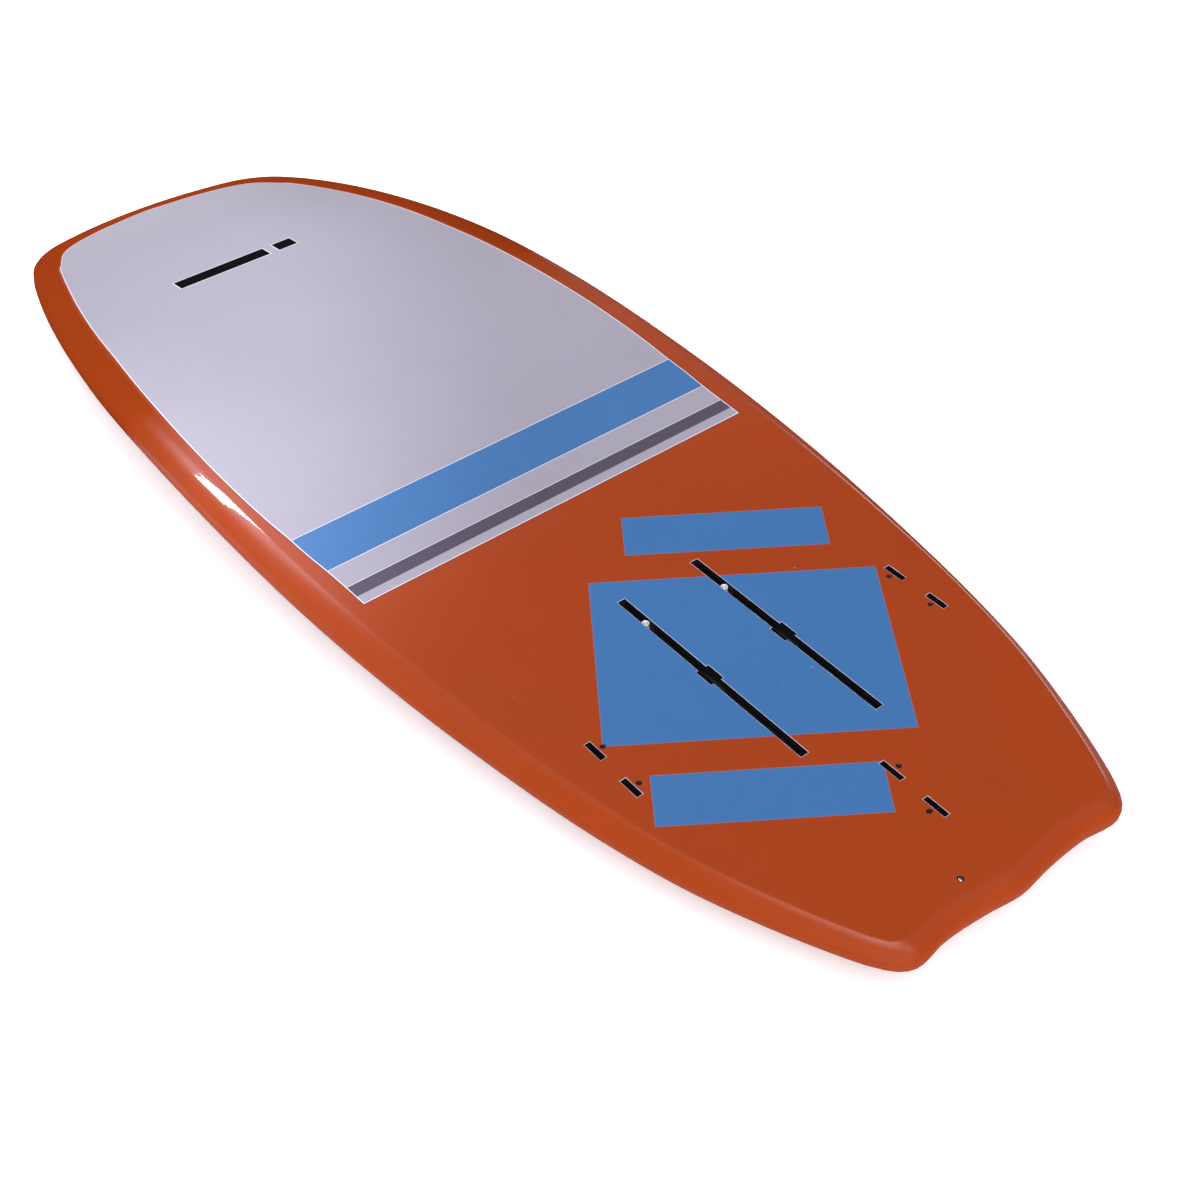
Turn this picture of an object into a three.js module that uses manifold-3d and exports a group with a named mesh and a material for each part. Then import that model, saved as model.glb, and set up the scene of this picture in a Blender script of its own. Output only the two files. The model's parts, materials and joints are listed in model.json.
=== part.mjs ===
// Foil-ready directional kiteboard, lying on its deck with the running surface (bottom) up.
// Board frame used while modelling: x towards the nose, y across, z out of the bottom; z = 0 is the flat of the bottom
// and x = 0 the middle of the foil tracks. The whole group is then pitched to the attitude in which the board lies on a
// level floor, on its nose and the kick of its tail pad, and moved so that the origin is under the middle of its box.
import * as THREE from 'three';
import { ParametricGeometry } from 'three/addons/geometries/ParametricGeometry.js';
import { mergeVertices } from 'three/addons/utils/BufferGeometryUtils.js';
import Module from 'manifold-3d';

const wasm = await Module();
wasm.setup();

// ---- driving dimensions, mm ----
const GAP = 0.3;              // clearance between pieces that touch
const SKIN = 2.6;             // sandwich skin thickness, paint included
const CORE_GLUE = 1.0;        // resin line between the foam core and the skins
const FLAT_END = 450;         // the bottom is flat from the tail to here
const NOSE_DROP = 89;         // nose rocker at 780 mm ahead of the flat
const ROCKER_RUN = 780;
const ROCKER_POWER = 2.55;

// half plan outline at the widest line of the rail, from the middle of the tail to the middle of the nose
const OUTLINE = [
  [-339.8, 0], [-338.5, 13.5], [-336, 29.8], [-334.1, 50.2], [-333.2, 70], [-333.7, 87.9], [-336.9, 104.9], [-337.3, 118.3],
  [-329.9, 131.8], [-312.5, 144.9], [-280.5, 161], [-219.4, 186.4], [-149.8, 210.3], [-59.8, 232], [50, 251.1], [180, 268.3],
  [330, 279.8], [490, 283.6], [640, 281.1], [780, 272.3], [900, 256.1], [1000, 237], [1080.4, 217.1], [1142.9, 197.8],
  [1191.9, 176.6], [1227.8, 144.2], [1248.4, 97.3], [1260.6, 48.7], [1264.5, 0],
];
const RAIL_THICKNESS = [[-340, 33], [-150, 42], [50, 46], [300, 46], [600, 44], [900, 42], [1100, 34], [1265, 23]];
const DECK_CROWN = [[-340, 2], [-200, 7], [0, 13], [200, 16], [500, 17], [800, 14], [1000, 9], [1150, 5], [1265, 2]];
const HALF_WIDTH = [[-340, 140], [-200, 194], [-60, 232], [130, 262], [330, 280], [490, 284], [640, 281], [800, 270], [1000, 237], [1143, 198], [1265, 150]];
const BOTTOM_EDGE = [[-340, 14], [0, 17], [300, 24], [600, 28], [1000, 28], [1265, 22]];      // plan width of the rail's bottom rounding
const DECK_EDGE = [[-340, 24], [0, 30], [300, 38], [600, 42], [1000, 40], [1265, 28]];        // plan width of the rail's deck rounding
const HARD_EDGE = [[-340, 0.55], [-100, 0.55], [150, 0.35], [350, 0.1], [600, 0], [1265, 0]]; // 0 soft rail, 1 plain bevel
const APEX = 0.37;            // depth of the rail's widest line, as a share of the rail thickness

const TRACK_Y = 45;           // foil tracks, 90 mm apart
const TRACK_SLOT = 254;       // slot length
const TRACK_MOUTH = 8.6;      // slot width
const TRACK_GATE = [20.6, 14.6];   // opening where a T-nut drops in, along and across
const TRACK_GATE_X = -1.5;
const TRACK_BODY = [264, 22, 24.5];
const TRACK_LIP = 3;
const TRACK_CAVITY = [15.2, 6.9];  // T-nut channel, width and height
const BLOCK = [292, 128, 30];      // high-density block around both tracks
const TNUT_X = [[90.5, 1, 'starboard'], [82, -1, 'port']];

const FIN_PLUGS = [            // slot centre x, y, side of the grub screw (along y), name, slot length and width
  [-9.3, 182.4, -1, 'starboard_front', 23, 6], [-61.9, 184.4, -1, 'starboard_rear', 23, 6],
  [-9.3, -182.4, 1, 'port_front', 23, 6], [-61.9, -184.4, 1, 'port_rear', 23, 6],
  [-187.5, 0, -1, 'centre_front', 25, 5.4], [-239.4, 0, 1, 'centre_rear', 25, 5.4],
];
const FIN_SLOT_DEPTH = 14;
const FIN_PLUG = [37, 18, 19];
const GRUB = { r: 2.1, length: 5.8, offset: 8.2, tilt: 28 * Math.PI / 180, bore: 2.35 };

const VENT = [-305, 40];
const LEASH_X = -297;
const INSERTS = [[352, 62, 'front_inner_starboard'], [352, -62, 'front_inner_port'], [268, 168, 'front_outer_starboard'], [268, -168, 'front_outer_port'], [-128, 86, 'rear_starboard'], [-128, -86, 'rear_port']];

const PAD = 5;                // EVA thickness
const PAD_GLUE = 0.8;         // glue line between deck and pad
const PITCH = 2.06 * Math.PI / 180;

// ---- station curves ----
function station(table, x) {
  const n = table.length;
  if (x <= table[0][0]) return table[0][1];
  if (x >= table[n - 1][0]) return table[n - 1][1];
  let i = 0;
  while (x > table[i + 1][0]) i++;
  const slope = (a, b) => (table[b][1] - table[a][1]) / (table[b][0] - table[a][0]);
  const m0 = i === 0 ? slope(0, 1) : (slope(i - 1, i) * slope(i, i + 1) <= 0 ? 0 : (slope(i - 1, i) + slope(i, i + 1)) / 2);
  const m1 = i + 2 >= n ? slope(n - 2, n - 1) : (slope(i, i + 1) * slope(i + 1, i + 2) <= 0 ? 0 : (slope(i, i + 1) + slope(i + 1, i + 2)) / 2);
  const h = table[i + 1][0] - table[i][0], t = (x - table[i][0]) / h;
  const t2 = t * t, t3 = t2 * t;
  return (2 * t3 - 3 * t2 + 1) * table[i][1] + (t3 - 2 * t2 + t) * h * m0 + (3 * t2 - 2 * t3) * table[i + 1][1] + (t3 - t2) * h * m1;
}
const bottomZ = (x) => -NOSE_DROP * Math.pow(Math.max(0, x - FLAT_END) / ROCKER_RUN, ROCKER_POWER);
const deckZ = (x, y) => {
  const v = Math.min(1, Math.abs(y) / station(HALF_WIDTH, x));
  return bottomZ(x) - station(RAIL_THICKNESS, x) - station(DECK_CROWN, x) * (1 - v * v);
};

// ---- plan outline, sampled ----
const mirrored = OUTLINE.slice(1, -1).reverse().map(([x, y]) => [x, -y]);
const curve = new THREE.CatmullRomCurve3([...OUTLINE, ...mirrored].map(([x, y]) => new THREE.Vector3(x, y, 0)), true, 'centripetal');
const intervals = OUTLINE.length - 1;
const params = [];
for (let i = 0; i < intervals; i++) {
  const parts = i < 12 ? 1 : 2;
  for (let j = 0; j < parts; j++) params.push((i + j / parts) / (2 * intervals));
}
const halfCount = params.length;
const rimHalf = [...params, 0.5].map((t) => {
  const p = curve.getPoint(t), a = curve.getPoint((t + 1 - 1e-4) % 1), b = curve.getPoint((t + 1e-4) % 1);
  const d = b.sub(a).normalize();
  return { x: p.x, y: p.y, nx: -d.y, ny: d.x };
});
rimHalf[0] = { x: OUTLINE[0][0], y: 0, nx: -1, ny: 0 };
rimHalf[halfCount] = { x: OUTLINE[intervals][0], y: 0, nx: 1, ny: 0 };
const rim = [];
for (let i = 0; i <= halfCount; i++) rim.push(rimHalf[i]);
for (let i = halfCount - 1; i > 0; i--) rim.push({ x: rimHalf[i].x, y: -rimHalf[i].y, nx: rimHalf[i].nx, ny: -rimHalf[i].ny });
const RIM = rim.length;
const SPINE = [-215, 1105];   // centre line segment that the inner rings close on

// a point of the hull: edge point i, a place s on the section from the bottom's centre line to the deck's, o mm inside the surface
function sectionPoint(i, s, o) {
  const e = rim[i % RIM];
  const x0 = e.x - e.nx * o, y0 = e.y - e.ny * o;
  const spineX = Math.min(SPINE[1], Math.max(SPINE[0], e.x));
  const thick = station(RAIL_THICKNESS, e.x), hb = APEX * thick, hd = thick - hb;
  const t = Math.min(1, Math.max(0, (Math.abs(e.ny) - 0.45) / 0.4)), across = t * t * (3 - 2 * t);   // 0 round the tail's end, 1 along the rails
  const rb = station(BOTTOM_EDGE, e.x) * (e.x < 0 ? 1 + 0.55 * (1 - across) : 1) - o * 0.6, rd = station(DECK_EDGE, e.x) - o * 0.6;
  const c = station(HARD_EDGE, e.x) * (e.x < 600 ? across : 1);
  const inset = (d) => [x0 - e.nx * d, y0 - e.ny * d];
  if (s.side === 'bottom') {
    if (s.in !== undefined) {
      const [ex, ey] = inset(rb);
      const x = ex + (spineX - ex) * s.in, y = ey * (1 - s.in);
      return [x, y, bottomZ(x) - o];
    }
    const [x, y] = inset(rb * (1 - s.u));
    const g = (1 - c) * (1 - Math.sqrt(1 - s.u * s.u)) + c * s.u;
    return [x, y, bottomZ(x) - o - (hb - GAP / 2 * (s.part ?? 0) - o) * g];
  }
  if (s.in !== undefined) {
    const [ex, ey] = inset(rd);
    const x = ex + (spineX - ex) * s.in, y = ey * (1 - s.in);
    return [x, y, deckZ(x, y) + o];
  }
  const [x, y] = inset(rd * (1 - s.u));
  const g = 1 - Math.sqrt(1 - s.u * s.u);
  const base = deckZ(x, y);
  return [x, y, base + o + (bottomZ(x) - hb - GAP / 2 * (s.part ?? 0) - base - o) * g];
}
// a closed shell: the section's places in order, from one centre line to the other
function loft(places) {
  const rows = places.length - 1;
  const g = new ParametricGeometry((u, v, target) => {
    const p = places[Math.round(v * rows)];
    const [x, y, z] = sectionPoint(Math.round(u * RIM), p, p.o);
    target.set(x, y, z);
  }, RIM, rows);
  return solid(g);
}

// ---- solids ----
function clean(geometry) {
  const g0 = geometry.index ? geometry.toNonIndexed() : geometry.clone();
  for (const name of Object.keys(g0.attributes)) if (name !== 'position') g0.deleteAttribute(name);
  const g = mergeVertices(g0, 1e-3);
  const idx = g.index.array, keep = [];
  for (let i = 0; i < idx.length; i += 3) {
    const [a, b, c] = [idx[i], idx[i + 1], idx[i + 2]];
    if (a !== b && b !== c && c !== a) keep.push(a, b, c);
  }
  g.setIndex(keep);
  return g;
}
function manifold(g) {
  return new wasm.Manifold(new wasm.Mesh({ numProp: 3, vertProperties: new Float32Array(g.attributes.position.array), triVerts: new Uint32Array(g.index.array) }));
}
function solid(geometry) {
  const g = clean(geometry);
  let m = manifold(g);
  if (m.volume() < 0) {
    const idx = Array.from(g.index.array);
    for (let i = 0; i < idx.length; i += 3) [idx[i], idx[i + 1]] = [idx[i + 1], idx[i]];
    g.setIndex(idx);
    m = manifold(g);
  }
  return m;
}
function geometryOf(m) {
  const mesh = m.getMesh();
  const g = new THREE.BufferGeometry();
  g.setAttribute('position', new THREE.BufferAttribute(new Float32Array(mesh.vertProperties), 3));
  g.setIndex(Array.from(mesh.triVerts));
  g.computeVertexNormals();
  return g;
}
const at = (g, x, y, z) => g.translate(x, y, z);
// box by its centre in x and y, its top and its depth
const block = (x, y, top, dx, dy, dz) => solid(at(new THREE.BoxGeometry(dx, dy, dz), x, y, top - dz / 2));
// upright cylinder from z0 to z1
const drum = (x, y, z0, z1, r, n = 24) => solid(at(new THREE.CylinderGeometry(r, r, Math.abs(z1 - z0), n).rotateX(Math.PI / 2), x, y, (z0 + z1) / 2));
// round-ended bar, dx long and dy wide overall
function stadium(x, y, top, dx, dy, dz, n = 10) {
  const r = dy / 2, s = new THREE.Shape(), h = dx / 2 - r;
  s.moveTo(-h, -r); s.lineTo(h, -r); s.absarc(h, 0, r, -Math.PI / 2, Math.PI / 2, false); s.lineTo(-h, r); s.absarc(-h, 0, r, Math.PI / 2, 1.5 * Math.PI, false);
  return solid(at(new THREE.ExtrudeGeometry(s, { depth: dz, bevelEnabled: false, curveSegments: n }), x, y, top - dz));
}
// turned piece about z: profile points [radius, z]
const turned = (x, y, profile, n = 24) => solid(at(new THREE.LatheGeometry(profile.map(([r, z]) => new THREE.Vector2(r, z)), n).rotateX(Math.PI / 2), x, y, 0));
const cut = (m, tools) => tools.reduce((a, t) => a.subtract(t), m);

const group = new THREE.Group();
const materials = {
  paint: { color: 0xa3482b, roughness: 0.16, metalness: 0 },
  foam: { color: 0xf1f1ee, roughness: 0.95, metalness: 0 },
  dense: { color: 0xd9c48c, roughness: 0.85, metalness: 0 },
  wood: { color: 0xc8a06a, roughness: 0.7, metalness: 0 },
  black: { color: 0x101013, roughness: 0.45, metalness: 0 },
  steel: { color: 0xc9ccd0, roughness: 0.3, metalness: 1 },
  brass: { color: 0xcaa45a, roughness: 0.35, metalness: 1 },
  seal: { color: 0x18181a, roughness: 0.8, metalness: 0 },
  eva: { color: 0x3a3c42, roughness: 0.95, metalness: 0 },
};
function piece(name, m, material) {
  const mesh = new THREE.Mesh(geometryOf(m), new THREE.MeshStandardMaterial(materials[material]));
  mesh.name = name;
  group.add(mesh);
}

const TOP = -(SKIN + GAP);    // what lies under the bottom skin starts here

// ---- outer shells and core ----
// places on the section: centre line to rail on the bottom, rail to centre line on the deck; part 1 leaves half a gap at the joint line
const onBottom = (o, ins, us, part) => [...ins.map((t) => ({ side: 'bottom', in: t, o })), ...us.map((u) => ({ side: 'bottom', u, o, part }))];
const onDeck = (o, us, ins, part) => [...us.map((u) => ({ side: 'deck', u, o, part })), ...ins.map((t) => ({ side: 'deck', in: t, o }))];
const IN_B = [1, 0.5, 0], IN_U = [0.5, 0.82, 1], IN_D = [0, 0.5, 1], IN_V = [1, 0.86, 0.5];
let bottomShell = loft([...onBottom(0, [1, 0.55, 0], [0.3, 0.55, 0.76, 0.92, 1], 1), ...onBottom(SKIN, IN_B, IN_U, 1).reverse()]);
let deckShell = loft([...onDeck(0, [1, 0.94, 0.8, 0.55, 0.25], [0, 0.3, 0.64, 1], 1).reverse(), ...onDeck(SKIN, IN_V, IN_D, 1)]);
const coreWhole = loft([...onBottom(SKIN + CORE_GLUE, IN_B, IN_U, 0), ...onDeck(SKIN + CORE_GLUE, IN_V.slice(1), IN_D, 0)]);

// ---- cutting tools ----
const slots = [];             // everything that opens through the bottom skin
for (const s of [1, -1]) {
  slots.push(block(0, s * TRACK_Y, 2, TRACK_SLOT, TRACK_MOUTH, 8));
  slots.push(block(TRACK_GATE_X, s * TRACK_Y, 2, TRACK_GATE[0], TRACK_GATE[1], 8));
}
// grub screw axis: through the bottom at offset from the slot, running down towards the slot
function grubAxis(x, y, side) {
  const start = new THREE.Vector3(x, y + side * GRUB.offset, 0);
  const dir = new THREE.Vector3(0, side * Math.sin(GRUB.tilt), Math.cos(GRUB.tilt)); // outwards
  return { start, dir };
}
function grubSolid(x, y, side, r, from, to, n = 12) {   // from and to: distances along the outward direction, from the bottom
  const { start, dir } = grubAxis(x, y, side);
  const g = new THREE.CylinderGeometry(r, r, to - from, n);
  g.rotateX(Math.PI / 2);
  g.rotateX(-side * GRUB.tilt);
  const c = start.clone().addScaledVector(dir, (from + to) / 2);
  return solid(at(g, c.x, c.y, c.z));
}
for (const [x, y, side, , long, across] of FIN_PLUGS) {
  slots.push(block(x, y, 2, long, across, 8));
  slots.push(grubSolid(x, y, side, GRUB.bore, -6, 4));
}
slots.push(drum(VENT[0], VENT[1], -6, 2, 3.9, 16));
bottomShell = cut(bottomShell, slots);

// ---- tracks in their block ----
const trackTop = TOP, trackLow = TOP - TRACK_BODY[2];
const pockets = [];           // pockets in the core and stringer
piece('bottom_shell', bottomShell, 'paint');
let trackBlock = block(0, 0, TOP, BLOCK[0], BLOCK[1], BLOCK[2]);
pockets.push(block(0, 0, 5, BLOCK[0] + 2 * GAP, BLOCK[1] + 2 * GAP, BLOCK[2] + 5 - TOP + GAP));
for (const s of [1, -1]) {
  const side = s > 0 ? 'starboard' : 'port';
  trackBlock = trackBlock.subtract(block(0, s * TRACK_Y, 5, TRACK_BODY[0] + 2 * GAP, TRACK_BODY[1] + 2 * GAP, TRACK_BODY[2] + 5 - TOP + GAP));
  const cavityTop = trackTop - TRACK_LIP;
  const track = cut(block(0, s * TRACK_Y, trackTop, ...TRACK_BODY), [
    block(0, s * TRACK_Y, 5, TRACK_SLOT, TRACK_MOUTH, 5 - trackTop + 21),
    block(0, s * TRACK_Y, cavityTop, TRACK_SLOT, TRACK_CAVITY[0], TRACK_CAVITY[1]),
    block(TRACK_GATE_X, s * TRACK_Y, 5, TRACK_GATE[0], TRACK_GATE[1], 5 - cavityTop + 1),
  ]);
  piece('foil_track_' + side, track, 'black');
}
piece('track_block', trackBlock, 'dense');
for (const [x, s, name] of TNUT_X) {
  const low = trackTop - TRACK_LIP - TRACK_CAVITY[1] + GAP, y = s * TRACK_Y;
  const nut = cut(block(x, y, low + 4.4, 18, 13.8, 4.4).add(drum(x, y, low + 1, -2.2, 3.7, 16)), [drum(x, y, low - 1, 0, 2.3, 12)]);
  piece('t_nut_' + name, nut, 'steel');
}

// ---- fin plugs and grub screws ----
for (const [x, y, side, name, long, across] of FIN_PLUGS) {
  const yc = y + side * 3;
  const plug = cut(stadium(x, yc, TOP, FIN_PLUG[0], FIN_PLUG[1], FIN_PLUG[2], 5), [
    block(x, y, 5, long, across, 5 + FIN_SLOT_DEPTH),
    grubSolid(x, y, side, GRUB.bore, -12, 6),
  ]);
  piece('fin_plug_' + name, plug, 'black');
  pockets.push(stadium(x, yc, 5, FIN_PLUG[0] + 2 * GAP, FIN_PLUG[1] + 2 * GAP, FIN_PLUG[2] + 5 - TOP + GAP, 5));
  const from = -7, to = from + GRUB.length;
  const { start, dir } = grubAxis(x, y, side);
  const hex = new THREE.CylinderGeometry(1.25, 1.25, 5, 6);
  hex.rotateX(Math.PI / 2);
  hex.rotateX(-side * GRUB.tilt);
  const c = start.clone().addScaledVector(dir, to - 3 + 2.5);
  const screw = grubSolid(x, y, side, GRUB.r, from, to).subtract(solid(at(hex, c.x, c.y, c.z)));
  piece('grub_screw_' + name, screw, 'steel');
}

// ---- vent ----
{
  const [x, y] = VENT;
  piece('vent_body', turned(x, y, [[2.1, TOP - 15], [7, TOP - 15], [7, TOP - 4], [9, TOP - 4], [9, TOP], [3.9, TOP], [3.9, TOP - 3.6], [2.1, TOP - 3.6], [2.1, TOP - 15]], 16), 'black');
  pockets.push(drum(x, y, TOP - 15 - GAP, 5, 7 + GAP, 16), drum(x, y, TOP - 4 - GAP, 5, 9 + GAP, 16));
  const seat = TOP - 3.6;
  piece('vent_o_ring', turned(x, y, [[2.3, seat + 0.2], [3.4, seat + 0.2], [3.7, seat + 0.85], [3.4, seat + 1.5], [2.3, seat + 1.5], [2.0, seat + 0.85], [2.3, seat + 0.2]], 16), 'seal');
  const head = seat + 1.8;
  piece('vent_screw', cut(turned(x, y, [[0, TOP - 14], [1.6, TOP - 14], [1.6, head], [3.1, head], [3.3, head + 0.4], [3.3, head + 3.0], [2.7, head + 3.7], [0, head + 3.7]], 16), [block(x, y, head + 5, 8, 1.0, 2.3)]), 'steel');
}

// ---- stringer and core halves ----
const STRINGER = 6;
const leashTop = deckZ(LEASH_X, 0) + SKIN + GAP;      // inner end of the deck skin at the leash plug
pockets.push(drum(LEASH_X, 0, deckZ(LEASH_X, 0) - 8, leashTop + 15 + GAP, 14.5 + GAP, 20));
for (const [x, y] of INSERTS) pockets.push(drum(x, y, deckZ(x, y) - 8, deckZ(x, y) + SKIN + 18 + GAP, 6 + GAP, 12));
const tall = 400;
const stringer = cut(coreWhole.intersect(block(460, 0, tall / 2, 1500, STRINGER, tall)), pockets);
piece('stringer', stringer, 'wood');
const wide = 400;
for (const s of [1, -1]) {
  const half = coreWhole.intersect(block(460, s * (STRINGER / 2 + GAP + wide / 2), tall / 2, 1700, wide, tall));
  piece(s > 0 ? 'core_starboard' : 'core_port', cut(half, pockets), 'foam');
}

// ---- leash plug, strap inserts and deck shell ----
const deckTools = [drum(LEASH_X, 0, deckZ(LEASH_X, 0) - 8, leashTop + 2, 14.5 + GAP, 20)];
{
  const face = deckZ(LEASH_X, 0);
  const cup = turned(LEASH_X, 0, [[0, leashTop + 15], [14.5, leashTop + 15], [14.5, face - 0.4], [10.5, face - 0.4], [10.5, face + 8], [9.5, face + 10], [0, face + 11]], 20);
  const hole = solid(at(new THREE.CylinderGeometry(2.3, 2.3, 26, 12), LEASH_X, 0, face + 4));
  piece('leash_plug_cup', cup.subtract(hole), 'black');
  piece('leash_plug_pin', solid(at(new THREE.CylinderGeometry(2, 2, 25.6, 12), LEASH_X, 0, face + 4)), 'steel');
}
for (const [x, y, name] of INSERTS) {
  const face = deckZ(x, y);
  deckTools.push(drum(x, y, face - 8, face + 12, 6 + GAP, 12));
  piece('strap_insert_' + name, turned(x, y, [[0, face + SKIN + 18], [6, face + SKIN + 18], [6, face + 0.2], [2.6, face + 0.2], [2.6, face + 16], [0, face + 17]], 12), 'brass');
}
piece('deck_shell', cut(deckShell, deckTools), 'paint');

// ---- deck pads ----
const PAD_EDGE = [[-262, 112], [-200, 136], [-150, 156], [-60, 190], [130, 226], [330, 240], [490, 242], [640, 232], [760, 190]];
function pad(xa, xb, nx, ny, halfWidth, thickness) {
  const stations = [xa, ...Array.from({ length: nx + 1 }, (_, i) => xa + (xb - xa) * i / nx), xb];
  const loopCount = 2 * ny;
  const g = new ParametricGeometry((u, v, target) => {
    const i = Math.round(u * (stations.length - 1)), j = Math.round(v * loopCount) % loopCount;
    const x = stations[i], end = i === 0 || i === stations.length - 1;
    const w = halfWidth(x), k = j <= ny ? j : loopCount - j;      // across, 0 to ny
    const y = w * (2 * k / ny - 1);
    const t = thickness(x, y);
    const upper = deckZ(x, y) - PAD_GLUE, lower = upper - t;
    const rimPoint = k === 0 || k === ny || end;
    target.set(x, y, rimPoint ? (upper + lower) / 2 : (j < ny ? upper : lower));
  }, stations.length - 1, loopCount);
  return solid(g);
}
const padTools = INSERTS.map(([x, y]) => drum(x, y, deckZ(x, y) - 30, deckZ(x, y) + 3, 9, 12));
const edge = (x) => station(PAD_EDGE, x);
const kick = (x) => 17 * Math.pow(Math.min(1, Math.max(0, (-196 - x) / 50)), 1.5);
const arch = (y) => 3.5 * Math.exp(-((y / 26) ** 2));   // low ridge under the arch of the rear foot
piece('deck_pad_kick', pad(-262, -176, 8, 6, edge, (x) => PAD + kick(x)), 'eva');
piece('deck_pad_rear', cut(pad(-170, -64, 4, 10, edge, (x, y) => PAD + arch(y)), padTools), 'eva');
piece('deck_pad_middle', cut(pad(-58, 208, 6, 6, edge, () => PAD), padTools), 'eva');
piece('deck_pad_front', cut(pad(214, 640, 9, 6, edge, () => PAD), padTools), 'eva');

// ---- lie the board on the floor ----
group.rotation.y = -PITCH;
group.updateMatrixWorld(true);
const bounds = new THREE.Box3().setFromObject(group, true);
const middle = bounds.getCenter(new THREE.Vector3());
group.position.set(-middle.x, 0, -bounds.min.z);
group.updateMatrixWorld(true);

export default group;
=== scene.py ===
# Foil-ready directional kiteboard, bottom up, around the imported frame.
import bpy, bmesh, json, math, random
import numpy as np
from mathutils import Matrix, Vector
from mathutils.bvhtree import BVHTree
from mathutils.interpolate import poly_3d_calc

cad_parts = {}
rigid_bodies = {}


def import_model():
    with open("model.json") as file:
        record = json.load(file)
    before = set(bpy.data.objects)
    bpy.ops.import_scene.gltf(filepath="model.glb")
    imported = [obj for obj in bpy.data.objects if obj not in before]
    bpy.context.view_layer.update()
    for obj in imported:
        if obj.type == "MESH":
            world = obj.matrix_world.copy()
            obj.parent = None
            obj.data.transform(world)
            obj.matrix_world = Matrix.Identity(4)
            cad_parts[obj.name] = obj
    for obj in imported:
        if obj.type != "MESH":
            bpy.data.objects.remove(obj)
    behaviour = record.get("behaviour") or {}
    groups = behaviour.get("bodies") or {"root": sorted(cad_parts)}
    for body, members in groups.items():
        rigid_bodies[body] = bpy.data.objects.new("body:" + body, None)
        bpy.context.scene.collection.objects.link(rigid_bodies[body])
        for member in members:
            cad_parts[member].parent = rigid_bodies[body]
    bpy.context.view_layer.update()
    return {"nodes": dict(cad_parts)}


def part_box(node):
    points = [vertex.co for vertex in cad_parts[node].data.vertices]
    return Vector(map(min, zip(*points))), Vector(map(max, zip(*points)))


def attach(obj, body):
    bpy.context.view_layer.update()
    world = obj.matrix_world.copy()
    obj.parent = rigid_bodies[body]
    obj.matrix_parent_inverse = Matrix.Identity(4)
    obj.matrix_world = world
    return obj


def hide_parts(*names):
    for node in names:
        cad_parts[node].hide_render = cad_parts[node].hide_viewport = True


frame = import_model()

for o in list(bpy.data.objects):
    if o.name in ("Cube", "Camera", "Light"):
        bpy.data.objects.remove(o)
scene = bpy.context.scene
scene.view_settings.view_transform = "Standard"
scene.view_settings.look = "None"
random.seed(7)

# ------------------------------------------------------------------ board frame
# Board frame, mm: x towards the nose, y across, z out of the bottom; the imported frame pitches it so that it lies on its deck.
PITCH = math.radians(2.06)
PC, PS = math.cos(PITCH), math.sin(PITCH)
_lo, _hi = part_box("foil_track_starboard")
PX = (_lo.x + _hi.x) * 500 - 15.15 * PS
PZ = (_lo.z + _hi.z) * 500 + 15.15 * PC

def row(p):
    x, y, z = p
    return Vector(((x * PC - z * PS + PX) / 1000, y / 1000, (x * PS + z * PC + PZ) / 1000))

def row_array(a):
    a = np.asarray(a, float)
    return np.stack([(a[:, 0] * PC - a[:, 2] * PS + PX) / 1000, a[:, 1] / 1000, (a[:, 0] * PS + a[:, 2] * PC + PZ) / 1000], 1)

TURN = Matrix(((PC, 0, -PS), (0, 1, 0), (PS, 0, PC)))
AXIS_Z = TURN @ Vector((0, 0, 1))

# ------------------------------------------------------------------ camera
def add_camera():
    centre = row((-845.249, 797.363, 1131.184))
    right = TURN @ Vector((-0.61590705, -0.78747200, -0.02337421))
    down = TURN @ Vector((-0.52252394, 0.43052744, -0.73594487))
    ahead = TURN @ Vector((0.58959922, -0.44106005, -0.67663786))
    data = bpy.data.cameras.new("camera")
    data.sensor_width = 36
    data.lens = 52.881
    data.clip_start = 0.05
    cam = bpy.data.objects.new("camera", data)
    scene.collection.objects.link(cam)
    m = Matrix((right, -down, -ahead)).transposed().to_4x4()
    m.translation = centre
    cam.matrix_world = m
    scene.camera = cam
add_camera()

# ------------------------------------------------------------------ hull form
SKIN = 2.6
FLAT_END, NOSE_DROP, ROCKER_RUN, ROCKER_POWER = 450, 89, 780, 2.55
OUTLINE = [[-339.8, 0], [-338.5, 13.5], [-336, 29.8], [-334.1, 50.2], [-333.2, 70], [-333.7, 87.9], [-336.9, 104.9], [-337.3, 118.3],
  [-329.9, 131.8], [-312.5, 144.9], [-280.5, 161], [-219.4, 186.4], [-149.8, 210.3], [-59.8, 232], [50, 251.1], [180, 268.3],
  [330, 279.8], [490, 283.6], [640, 281.1], [780, 272.3], [900, 256.1], [1000, 237], [1080.4, 217.1], [1142.9, 197.8],
  [1191.9, 176.6], [1227.8, 144.2], [1248.4, 97.3], [1260.6, 48.7], [1264.5, 0]]
RAIL_THICKNESS = [[-340, 33], [-150, 42], [50, 46], [300, 46], [600, 44], [900, 42], [1100, 34], [1265, 23]]
DECK_CROWN = [[-340, 2], [-200, 7], [0, 13], [200, 16], [500, 17], [800, 14], [1000, 9], [1150, 5], [1265, 2]]
HALF_WIDTH = [[-340, 140], [-200, 194], [-60, 232], [130, 262], [330, 280], [490, 284], [640, 281], [800, 270], [1000, 237], [1143, 198], [1265, 150]]
BOTTOM_EDGE = [[-340, 14], [0, 17], [300, 24], [600, 28], [1000, 28], [1265, 22]]
DECK_EDGE = [[-340, 24], [0, 30], [300, 38], [600, 42], [1000, 40], [1265, 28]]
HARD_EDGE = [[-340, 0.82], [-100, 0.82], [150, 0.6], [350, 0.2], [600, 0], [1265, 0]]
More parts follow.
